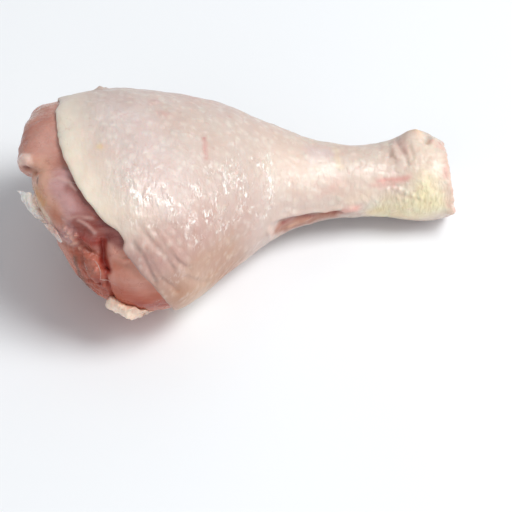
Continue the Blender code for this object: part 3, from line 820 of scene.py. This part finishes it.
MEAT_PATCHES = (
    # sinews and a little blood where the muscles close round the joint
    Patch((220, 188, 176), 0.6, 1.2, JOINT_RIM),
    Patch((216, 184, 174), 0.6, 1.1, ((-51.0, 10.0, 28.0), (-52.0, 15.0, 31.0), (-52.0, 20.0, 32.0))),
    Patch((216, 184, 174), 0.6, 1.1, ((-51.0, 11.0, 14.0), (-51.0, 16.0, 12.0), (-50.0, 21.0, 14.0))),
    Patch((150, 66, 54), 0.7, 1.3, ((-51.0, -7.6, 18.0), (-51.0, -9.4, 22.0))),
    Patch((156, 76, 64), 0.6, 1.2, ((-51.0, 6.0, 9.6), (-50.0, 10.0, 10.0))),
    # fat and silvery bands on the far side
    Patch((230, 202, 184), 0.7, 1.1,
          ((-45.0, 28.0, 36.0), (-46.0, 29.0, 28.0), (-46.0, 29.0, 20.0), (-45.0, 28.0, 13.0))),
    Patch((222, 188, 176), 0.6, 0.7, ((-52.0, 16.0, 37.0), (-50.0, 22.0, 34.0), (-47.0, 27.0, 30.0))),
    Patch((222, 188, 176), 0.55, 0.6, ((-51.0, 18.0, 16.0), (-49.0, 23.0, 18.0), (-46.0, 28.0, 22.0))),
    Patch((158, 84, 74), 0.6, 2.6, ((-50.0, 20.0, 26.0), (-48.0, 24.0, 24.0))),
    # the upper muscle, with a pale lump at its end
    Patch((206, 158, 148), 0.6, 4.0, ((-50.3, -2.7, 45.3), (-49.0, 3.0, 46.0))),
    Patch((176, 116, 104), 0.6, 3.5, ((-56.0, 4.0, 42.5), (-52.0, 10.0, 44.0))),
    Patch((194, 146, 118), 0.5, 2.2, ((-56.2, 11.0, 41.2), (-54.4, 15.0, 41.0), (-51.0, 19.0, 41.0))),
    Patch((236, 208, 196), 0.95, 1.5,
          ((-57.0, -2.6, 42.5), (-55.4, -3.4, 43.3), (-54.8, -4.6, 43.2)), edge=6),
    Patch((112, 50, 42), 0.85, 0.55, ((-56.9, -5.0, 41.2), (-55.2, -6.3, 42.4), (-53.9, -6.9, 42.0))),
    # fatty tissue that flows on from it to the side muscle, with an orange and a creamy edge
    Patch(TAN, 0.9, 4.2,
          ((-52.2, -7.6, 43.0), (-51.4, -10.6, 41.8), (-50.4, -13.8, 40.6), (-48.2, -17.4, 39.6)), edge=4),
    Patch((214, 156, 96), 0.85, 1.5, ((-52.6, -11.2, 39.4), (-51.4, -13.0, 39.8), (-50.4, -15.0, 39.2))),
    Patch((228, 208, 184), 0.85, 1.1,
          ((-52.6, -12.4, 37.8), (-50.9, -15.0, 37.2), (-48.8, -18.2, 36.2)), edge=3),
    Patch((192, 118, 92), 0.8, 1.8, ((-47.6, -18.6, 39.0), (-45.8, -20.4, 38.6))),
    Patch((84, 34, 26), 0.95, 0.45, ((-51.9, -9.2, 42.1), (-51.9, -10.0, 41.8))),
    # the side muscle: silvery purple above, dark red beside the joint and where it runs under the skin, that
    # red deepened near the skin's lip as painted shadow
    Patch(PURPLE, 0.9, 3.0, ((-46.8, -13.4, 43.8), (-44.6, -15.8, 43.3), (-42.2, -18.6, 42.3)), edge=4),
    # painted shadow cast by the skin's lip on the muscle
    Patch((148, 86, 78), 0.8, 2.2,
          ((-43.0, -13.6, 44.4), (-39.4, -18.2, 43.0), (-36.0, -22.0, 41.2)), edge=3),
    Patch((136, 56, 44), 0.95, 3.4,
          ((-40.4, -22.6, 39.4), (-37.0, -23.6, 39.8), (-33.4, -25.6, 38.8)), edge=4),
    Patch((124, 62, 60), 0.85, 1.4,
          ((-35.4, -22.8, 41.0), (-32.6, -25.6, 39.4), (-30.6, -27.2, 37.8)), edge=3),
    Patch(BLOOD_RED, 0.95, 1.7, ((-41.4, -24.8, 36.0), (-38.9, -26.2, 36.0), (-36.8, -26.8, 36.4)), edge=3),
    # torn tissue left of the crevice, with a brown rim
    Patch((170, 86, 64), 0.95, 4.4,
          ((-40.2, -27.0, 32.4), (-38.4, -28.8, 27.0), (-36.6, -29.8, 22.0)), edge=4),
    Patch((176, 110, 92), 0.7, 1.7, TORN_LOBE),
    Patch((142, 50, 38), 0.8, 1.0, ((-36.6, -30.1, 27.4), (-35.6, -30.8, 24.6), (-34.4, -31.2, 22.0))),
    Patch((128, 78, 58), 0.85, 1.1,
          ((-42.4, -25.9, 30.2), (-41.6, -26.4, 26.8), (-40.4, -26.9, 23.6), (-38.9, -27.0, 19.8)), edge=3),
    Patch(BLOOD_RED, 0.97, 1.25, CREVICE, edge=6),
    Patch(BLOOD_RED, 0.85, 0.6, CREVICE_TAIL),
    # the lower muscle, pale along its upper edge and redder below, dark red under the skin's lip, partly
    # painted shadow, and with a thin painted highlight beside the crevice
    Patch((218, 156, 136), 0.9, 3.0,
          ((-31.8, -28.4, 34.6), (-28.6, -29.2, 34.0), (-24.0, -31.4, 29.6)), edge=4),
    # dark red under the skin's lip: the muscle's own red, partly painted shadow
    Patch((124, 56, 50), 0.9, 1.7,
          ((-33.2, -25.4, 38.8), (-32.0, -26.2, 38.2), (-30.4, -27.2, 37.6)), edge=4),
    # painted highlight: a pale line along the muscle's edge beside the crevice
    Patch((206, 150, 136), 0.6, 0.6,
          ((-33.4, -27.6, 36.2), (-33.6, -29.4, 33.2), (-33.0, -30.9, 30.2), (-32.2, -31.6, 26.6))),
    Patch((176, 82, 56), 0.85, 4.2,
          ((-30.6, -32.2, 22.8), (-25.8, -32.7, 19.6), (-20.0, -31.0, 17.0)), edge=3),
    Patch((156, 58, 42), 0.8, 1.6, ((-27.0, -33.0, 18.6), (-22.6, -31.6, 17.6), (-18.6, -30.2, 18.0))),
    # gristle and tendon round the bone at the cut hock
    Patch((230, 200, 184), 0.9, 10.0, ((58.0, 18.4, 11.0),), edge=6),
    Patch((170, 70, 60), 0.8, 1.1, ((57.6, 13.4, 15.6), (57.6, 11.6, 11.6), (57.6, 12.6, 7.4))),
    Patch((186, 96, 84), 0.7, 0.9, ((57.6, 22.6, 16.6), (57.6, 25.0, 12.4))),
    Patch((240, 230, 220), 0.8, 1.3, ((57.6, 17.6, 18.6), (57.6, 20.0, 18.2))),
    Patch((240, 230, 220), 0.9, 1.0, ((57.6, 24.6, 8.4),), edge=3),
    *(Patch(SILVERSKIN, 0.65, 0.5, line) for line in FASCIA),
    *(Patch(LUMP_PINK, 0.6, 0.7 * size, (place,)) for place, size in LUMPS),
    *(Patch(KNOB_PINK, 0.75, 0.7 * size, (place,)) for place, size in KNOBS),
)

MEAT_FOLDS = (
    Fold(-1.7, 1.0, CREVICE),
    Fold(-0.9, 0.6, CREVICE_TAIL),
    Fold(-0.8, 1.0, ((-52.0, 14.0, 36.0), (-50.0, 20.0, 33.0), (-47.0, 26.0, 30.0))),
    Fold(-0.7, 0.9, ((-51.0, 16.0, 14.0), (-49.0, 22.0, 17.0), (-46.0, 28.0, 21.0))),
    # full flesh where two muscles meet
    Fold(1.0, 2.2, ((-50.0, -9.0, 44.2), (-46.3, -9.2, 45.2), (-42.6, -9.4, 45.9))),
    Fold(0.7, 1.6, ((-32.4, -28.6, 34.8), (-30.4, -28.9, 34.8), (-27.8, -29.3, 34.4))),
    Fold(0.7, 1.2, ((-32.6, -27.8, 33.4), (-31.2, -28.4, 33.2), (-29.4, -29.0, 33.2))),
    Fold(0.4, 3.0, ((-44.0, -16.6, 43.0),)),
    # the torn membrane's lobe, and furrows round it
    Fold(0.7, 1.7, TORN_LOBE),
    Fold(-0.9, 0.6,
         ((-41.0, -27.0, 31.6), (-40.2, -28.2, 28.4), (-38.6, -29.2, 25.8), (-36.6, -30.4, 25.4))),
    Fold(-0.8, 0.7, ((-41.2, -25.6, 35.4), (-38.8, -27.2, 34.2), (-36.4, -28.6, 33.2))),
    Fold(-0.5, 0.6, ((-37.4, -29.8, 22.8), (-35.0, -31.0, 22.4))),
    # the pale lump and the notch under it
    Fold(0.9, 1.5, ((-56.6, -2.8, 42.8), (-55.2, -3.8, 43.3))),
    Fold(-1.1, 0.9, ((-56.3, -5.9, 41.4), (-54.0, -6.9, 42.2))),
    *(Fold(0.3, 0.5, line) for line in FASCIA),
    *(Fold(0.7, 0.65 * size, (place,)) for place, size in LUMPS),
    *(Fold(0.8, 0.7 * size, (place,)) for place, size in KNOBS),
)

Muscle = namedtuple("Muscle", "node base")
MUSCLES = (
    Muscle("muscle_upper", PINK),
    Muscle("muscle_side", PURPLE),
    Muscle("muscle_lower", ORANGE_RED),
    Muscle("muscle_far", (196, 134, 120)),
)

# The spacing of the net laid over the muscles, how far they swell to meet, more where they stand out of the
# skin, and how much fuller they are left there.
NET = 0.88
SWELLING = 1.6
MORE_SWELLING = 1.4
FULLNESS = 0.35


def swelling_at(points):
    """How far the muscles swell at each point."""
    return (SWELLING + MORE_SWELLING * ramp(points[:, 0], -14.0, -24.0))[:, None]


def flowing_together(muscles):
    """The muscles as one mass: swollen until they meet, netted over and let down again."""
    copies = []
    for muscle in muscles:
        copy = muscle.copy()
        copy.data = muscle.data.copy()
        bpy.context.collection.objects.link(copy)
        put_at(copy, places(copy) + swelling_at(places(copy)) * facings(copy), -SWELLING - MORE_SWELLING)
        copies.append(copy)
    meat = joined(copies, "bare_meat")
    evened(meat, NET, 4)
    put_at(meat, places(meat) - swelling_at(places(meat)) * facings(meat))
    evened(meat, NET, 2)
    return meat


def make_meat(bone, skin):
    """The meat, with lumps and furrows where it stands out of the skin, and each muscle in its own red."""
    muscles = [tissue_from(muscle.node, muscle.node) for muscle in MUSCLES]
    meat = flowing_together(muscles)
    finer(meat, (places(meat)[:, 0] < -19.0) | (places(meat)[:, 0] > 51.0))
    finer(meat, distance_to(TORN_TISSUE, places(meat)) < 5.5)

    points = places(meat)
    facing = facings(meat)
    surface = surface_of(meat)
    apart = np.array([distance_from(muscle, points) for muscle in muscles])
    nearest = np.sort(apart, axis=0)
    seam = fade(nearest[1] - nearest[0], 1.3)
    bare = ramp(points[:, 0], -8.0, -14.0)
    cut_face = at_hock(points) * np.clip(facing[:, 0] - turned_out(points, facing), 0.0, 1.0)
    torn = fade(distance_to(TORN_TISSUE, points), 4.5)
    end_on = bare * np.clip(-1.6 * facing[:, 0] - 0.7, 0.0, 1.0) * (1.0 - torn)

    height = 0.45 * uneven(points, 9.0, 1.0) + 0.14 * uneven(points, 3.2, 4.0)
    height += 0.1 * uneven(points, 2.2, 8.0, stretch=(5.0, 1.0, 1.0)) - 0.3 * seam
    height += end_on * (0.16 * pimply(points, 2.6, 16.0) + 0.3 * uneven(points, 4.5, 18.0) - 0.6 * seam)
    height += torn * (0.4 * uneven(points, 2.2, 12.0, octaves=3) + 0.2 * pimply(points, 2.0, 14.0))
    height += folded(wandering(points, 4.0, 0.5, 3.0), laid_on(surface, MEAT_FOLDS))
    height = bare * (FULLNESS + height) + cut_face * (0.5 + 0.5 * uneven(points, 2.2, 30.0))
    raised = points + height[:, None] * facing
    round_bone = np.maximum(0.85 * ramp(points[:, 0], -43.0, -45.0), 0.95 * at_hock(points))
    raised = nestled(raised, surface_of(bone), 3.2, round_bone)
    raised = nestled(raised, surface_of(skin), 3.6, 0.95 * at_hock(points))
    put_at(meat, raised)

    shares = np.exp(-(apart - nearest[0]) / 0.8)
    base = (shares / shares.sum(axis=0)).T @ np.array([tone(muscle.base) for muscle in MUSCLES])
    base = mixed(base, (0.35 + 0.4 * end_on) * seam, SILVERSKIN)
    drift = 1.4 * uneven(points, 11.0, 70.0)
    base = mixed(base, 0.5 * np.clip(drift, 0.0, 1.0), SINEW)
    base = mixed(base, 0.5 * np.clip(-drift, 0.0, 1.0), DEEP_RED)
    keep_paint(meat, painted(base, laid_on(surface, MEAT_PATCHES), wandering(points, 2.5, 0.5, 60.0)))
    for muscle in muscles:
        bpy.data.objects.remove(muscle)
    meat.data.materials.append(muscle_material())
    stand_for(meat, "meat_pink", *(muscle.node for muscle in MUSCLES))
    return meat


# ---------------------------------------------------------------- bone, gristle and loose tags

BONE_PATCHES = (
    Patch((224, 196, 180), 0.85, 11.0, ((-52.0, 2.6, 22.0),), edge=4),
    Patch((190, 108, 92), 0.7, 1.6, ((-50.6, -5.6, 17.0), (-50.6, -1.0, 13.6), (-50.6, 4.0, 14.0))),
    Patch((242, 234, 224), 0.9, 3.4, ((-50.6, 7.0, 27.0),), edge=3),
    Patch((160, 92, 98), 0.85, 3.0, ((57.4, 18.0, 11.2),), edge=3),
    Patch((206, 150, 146), 0.6, 1.2, ((57.4, 18.8, 12.2),)),
)


def make_bone():
    """The leg's bone with its two heads; the cut hock shows white gristle round a purplish middle."""
    piece = tissue_from("bone", "leg_bone")
    evened(piece, 0.5, 4)
    points = places(piece)
    facing = facings(piece)
    height = 0.25 * uneven(points, 5.0, 2.0)
    height += at_hock(points) * 0.5 * uneven(points, 3.5, 6.0)
    put_at(piece, points + height[:, None] * facing)
    keep_paint(piece, painted(tone((236, 226, 214)), BONE_PATCHES, wandering(points, 3.0, 1.0, 12.0)))
    gristle = soft_material("gristle over bone", (226, 196, 188), (246, 240, 230), 0.3, 0.1)
    piece.data.materials.append(gristle)
    stand_for(piece, "bone", "bone")
    return piece


PAD_GROOVE = ((-54.6, -0.4, 27.6), (-55.2, 1.8, 22.6), (-54.6, 4.6, 17.6))
PAD_FOLDS = (
    Fold(0.9, 3.0, ((-54.4, 5.6, 24.6),)),
    Fold(0.8, 3.0, ((-54.4, -2.0, 20.4),)),
    Fold(-1.0, 1.3, PAD_GROOVE),
    Fold(-0.5, 0.7, ((-54.6, -5.0, 22.4), (-55.0, -2.4, 17.4))),
)
PAD_PATCHES = (
    Patch((240, 232, 224), 0.9, 2.8, ((-54.4, 5.8, 24.8),), edge=3),
    Patch((238, 228, 220), 0.9, 2.6, ((-54.4, -2.2, 20.6),), edge=3),
    Patch((176, 84, 70), 0.85, 1.1, PAD_GROOVE),
    Patch((240, 212, 156), 0.8, 1.8, ((-54.0, 7.6, 19.0), (-54.0, 4.6, 16.6))),
    Patch((188, 100, 84), 0.6, 1.5, ((-54.0, -5.4, 16.4),)),
)


def make_knee_pad(bone):
    """The gristle pad over the bone's end: two glossy lobes with a groove between them, and a little fat."""
    piece = tissue_from("knee_pad", "knee_fat_pad")
    evened(piece, 0.35, 3)
    points = places(piece)
    height = 0.5 * uneven(points, 5.0, 4.0) + 0.2 * uneven(points, 2.0, 7.0)
    height += folded(wandering(points, 3.0, 0.8, 5.0), laid_on(surface_of(piece), PAD_FOLDS))
    points = points + height[:, None] * facings(piece)
    put_at(piece, nestled(points, surface_of(bone), 2.2, np.full(len(points), 0.8)))
    keep_paint(piece, painted(tone((224, 192, 174)), PAD_PATCHES, wandering(points, 3.0, 1.0, 22.0)))
    gristle = soft_material("joint gristle", (222, 188, 168), (240, 230, 220), 0.3, 0.16)
    piece.data.materials.append(gristle)
    stand_for(piece, "joint_fat", "knee_pad")


# A loose flap. Torn, plump and lumps say how ragged, swollen and lumpy it is, and past thin_from, along X, it
# is drawn up to the meat.
Tag = namedtuple("Tag", "node name slot base warm pale root_colour root_share patches net torn plump lumps"
                        " shift thin_from", defaults=(-0.15, 0.0, (0.0, 0.0, 0.0), None))
TAGS = (
    Tag(node="tendon_flap", name="torn_membrane", slot="tendon", net=0.2, torn=0.8,
        base=(244, 229, 217), warm=(222, 206, 194), pale=(240, 236, 230),
        root_colour=(196, 146, 126), root_share=0.9,
        patches=(Patch((226, 188, 140), 0.9, 2.6, ((-50.2, -13.6, 37.4),)),
                 Patch((240, 236, 232), 0.8, 3.0, ((-57.6, -9.6, 38.0), (-53.0, -14.6, 33.2))))),
    Tag(node="tendon_strip", name="tendon_end", slot="tendon", net=0.18, torn=0.6,
        base=(236, 220, 212), warm=(216, 184, 174), pale=(240, 230, 224),
        root_colour=(186, 130, 114), root_share=0.85,
        patches=(Patch((214, 170, 156), 0.8, 1.6, ((-45.4, -22.0, 36.0), (-48.8, -19.4, 37.0))),)),
    Tag(node="fat_tag", name="fat_flap", slot="fat", net=0.3, torn=0.9, plump=0.3, lumps=0.4,
        shift=(-0.4, -0.5, 2.1), thin_from=-29.5,
        base=(250, 230, 212), warm=(224, 172, 140), pale=(244, 226, 208),
        root_colour=(222, 150, 124), root_share=0.6,
        patches=(Patch((222, 150, 112), 0.8, 1.6, ((-33.0, -31.0, 18.4), (-30.6, -31.0, 17.6))),
                 Patch((206, 148, 108), 0.8, 0.7, ((-31.4, -31.8, 19.4), (-30.2, -32.2, 19.0))),
                 Patch((216, 168, 132), 0.6, 0.8, ((-28.4, -32.4, 18.6), (-27.4, -32.6, 18.0))),
                 Patch((252, 238, 222), 0.8, 2.2, ((-33.0, -31.0, 16.0), (-26.0, -31.0, 10.0))))),
)


def make_tag(tag, meat):
    """A loose flap with a ragged rim, which takes the colour of the meat where it grows out of it."""
    piece = tissue_from(tag.node, tag.name)
    evened(piece, tag.net, 4)
    points = places(piece)
    height = tag.plump + 0.16 * uneven(points, 1.6, 3.0) + tag.lumps * pimply(points, 1.7, 8.0)
    points = points + height[:, None] * facings(piece) + np.array(tag.shift)
    points += tag.torn * np.stack([uneven(points, 2.6, seed) for seed in (11.0, 17.0, 23.0)], axis=1)
    if tag.thin_from is not None:
        thinning = ramp(points[:, 0], tag.thin_from, tag.thin_from + 5.0)
        points = nestled(points, surface_of(meat), 4.5, 0.85 * thinning)
    put_at(piece, points)
    root = tag.root_share * fade(distance_from(meat, points), 1.3)
    keep_paint(piece, mixed(painted(tone(tag.base), tag.patches, points), root, tag.root_colour))
    piece.data.materials.append(soft_material(tag.name.replace("_", " "), tag.warm, tag.pale, 0.34, 0.1))
    stand_for(piece, tag.slot, tag.node)


Thread = namedtuple("Thread", "radius path")
THREADS = (
    Thread(0.1, ((-37.4, -28.4, 32.4), (-36.2, -29.3, 31.2), (-35.7, -30.2, 29.2), (-36.0, -30.4, 27.2))),
    Thread(0.11, ((-36.0, -30.2, 27.4), (-34.6, -31.0, 27.0), (-33.2, -31.4, 27.0))),
    Thread(0.1, ((-39.4, -27.6, 30.8), (-38.4, -28.6, 28.8), (-38.6, -28.8, 26.8))),
    Thread(0.1, ((-43.6, -12.7, 44.7), (-41.6, -13.4, 45.0), (-39.8, -14.8, 44.6))),
)
THREAD_STEPS = 24


def make_threads(meat):
    """Fine silvery threads that lie on the meat, thinner towards their ends."""
    surface = surface_of(meat)
    strands = []
    for number, thread in enumerate(THREADS):
        curve = bpy.data.curves.new(f"thread_{number}", "CURVE")
        curve.dimensions = "3D"
        curve.bevel_depth = thread.radius * MM
        curve.bevel_resolution = 2
        curve.use_fill_caps = True
        spline = curve.splines.new("POLY")
        spline.points.add(THREAD_STEPS)
        path = [Vector(place) for place in thread.path]
        for step, point in enumerate(spline.points):
            along = step / THREAD_STEPS * (len(path) - 1)
            stretch = min(int(along), len(path) - 2)
            place = surface.find_nearest(path[stretch].lerp(path[stretch + 1], along - stretch))[0]
            point.co = (*(place * MM), 1.0)
            point.radius = 0.3 + 0.7 * math.sin(math.pi * step / THREAD_STEPS)
        strands.append(bpy.data.objects.new(f"thread_{number}", curve))
        bpy.context.collection.objects.link(strands[-1])
    pick(*strands)
    bpy.ops.object.convert(target="MESH")
    threads = joined(strands, "silvery_threads")
    bpy.ops.object.shade_smooth()
    keep_paint(threads, painted(tone((206, 166, 160)), (), places(threads)))
    silver = soft_material("silvery thread", (200, 150, 144), (224, 196, 190), 0.3, 0.03)
    threads.data.materials.append(silver)
    stand_for(threads, "tendon")


# ---------------------------------------------------------------- table, light and camera

def make_floor():
    """A plain pale table top."""
    bpy.ops.mesh.primitive_plane_add(size=6.0, location=(0.0, 0.0, 0.0))
    floor = bpy.context.active_object
    floor.name = "table"
    material = bpy.data.materials.new("white table")
    material.use_nodes = True
    shader = material.node_tree.nodes["Principled BSDF"]
    shader.inputs["Base Color"].default_value = (0.86, 0.875, 0.9, 1.0)
    shader.inputs["Roughness"].default_value = 0.9
    shader.inputs["Specular IOR Level"].default_value = 0.1
    floor.data.materials.append(material)


# A square light, shining on the leg from a direction. Distance and size are metres, power is watts.
Softbox = namedtuple("Softbox", "name towards distance size power colour")
SOFTBOXES = (
    Softbox("key softbox", (0.5, -0.06, 0.88), 1.1, 0.5, 8.8, (0.98, 0.985, 0.972)),
    Softbox("side softbox", (0.9, -0.05, 0.45), 1.2, 0.4, 2.8, (0.98, 0.99, 0.98)),
    Softbox("low side softbox", (0.97, -0.16, 0.16), 1.2, 0.2, 0.9, (1.0, 0.99, 0.975)),
    Softbox("far softbox", (-0.1, 0.7, 0.9), 1.2, 0.8, 0.8, (1.0, 0.995, 0.985)),
    Softbox("front softbox", (-0.45, -1.0, 0.6), 1.2, 1.0, 2.3, (1.0, 0.995, 0.985)),
)


def make_lights():
    """A pale room, and softboxes of which the brightest stand at the hock's end."""
    world = bpy.data.worlds.new("studio")
    bpy.context.scene.world = world
    world.use_nodes = True
    room = world.node_tree.nodes["Background"]
    room.inputs["Color"].default_value = (0.93, 0.965, 1.0, 1.0)
    room.inputs["Strength"].default_value = 0.35
    for softbox in SOFTBOXES:
        data = bpy.data.lights.new(softbox.name, "AREA")
        data.shape = "SQUARE"
        data.size = softbox.size
        data.energy = softbox.power
        data.color = softbox.colour
        light = bpy.data.objects.new(softbox.name, data)
        bpy.context.collection.objects.link(light)
        direction = Vector(softbox.towards).normalized()
        light.location = direction * softbox.distance
        light.rotation_euler = direction.to_track_quat("Z", "Y").to_euler()


CAMERA_LENS = 179.6
CAMERA_LEAN = math.radians(50.0)
CAMERA_DISTANCE = 0.7
CAMERA_AIM = Vector((4.28, 0.1, 0.0)) * MM


def make_camera():
    """The camera looks down on the leg from its -Y side."""
    data = bpy.data.cameras.new("camera")
    data.sensor_width = 36.0
    data.lens = CAMERA_LENS
    data.clip_start = 0.01
    data.clip_end = 20.0
    camera = bpy.data.objects.new("camera", data)
    bpy.context.collection.objects.link(camera)
    towards_camera = Vector((0.0, -math.cos(CAMERA_LEAN), math.sin(CAMERA_LEAN)))
    camera.location = CAMERA_AIM + CAMERA_DISTANCE * towards_camera
    camera.rotation_euler = (math.radians(90.0) - CAMERA_LEAN, 0.0, 0.0)
    bpy.context.scene.camera = camera


make_camera()
make_floor()
make_lights()
skin = make_skin()
bone = make_bone()
make_knee_pad(bone)
meat = make_meat(bone, skin)
for tag in TAGS:
    make_tag(tag, meat)
make_threads(meat)
bpy.context.scene.view_settings.view_transform = "Standard"
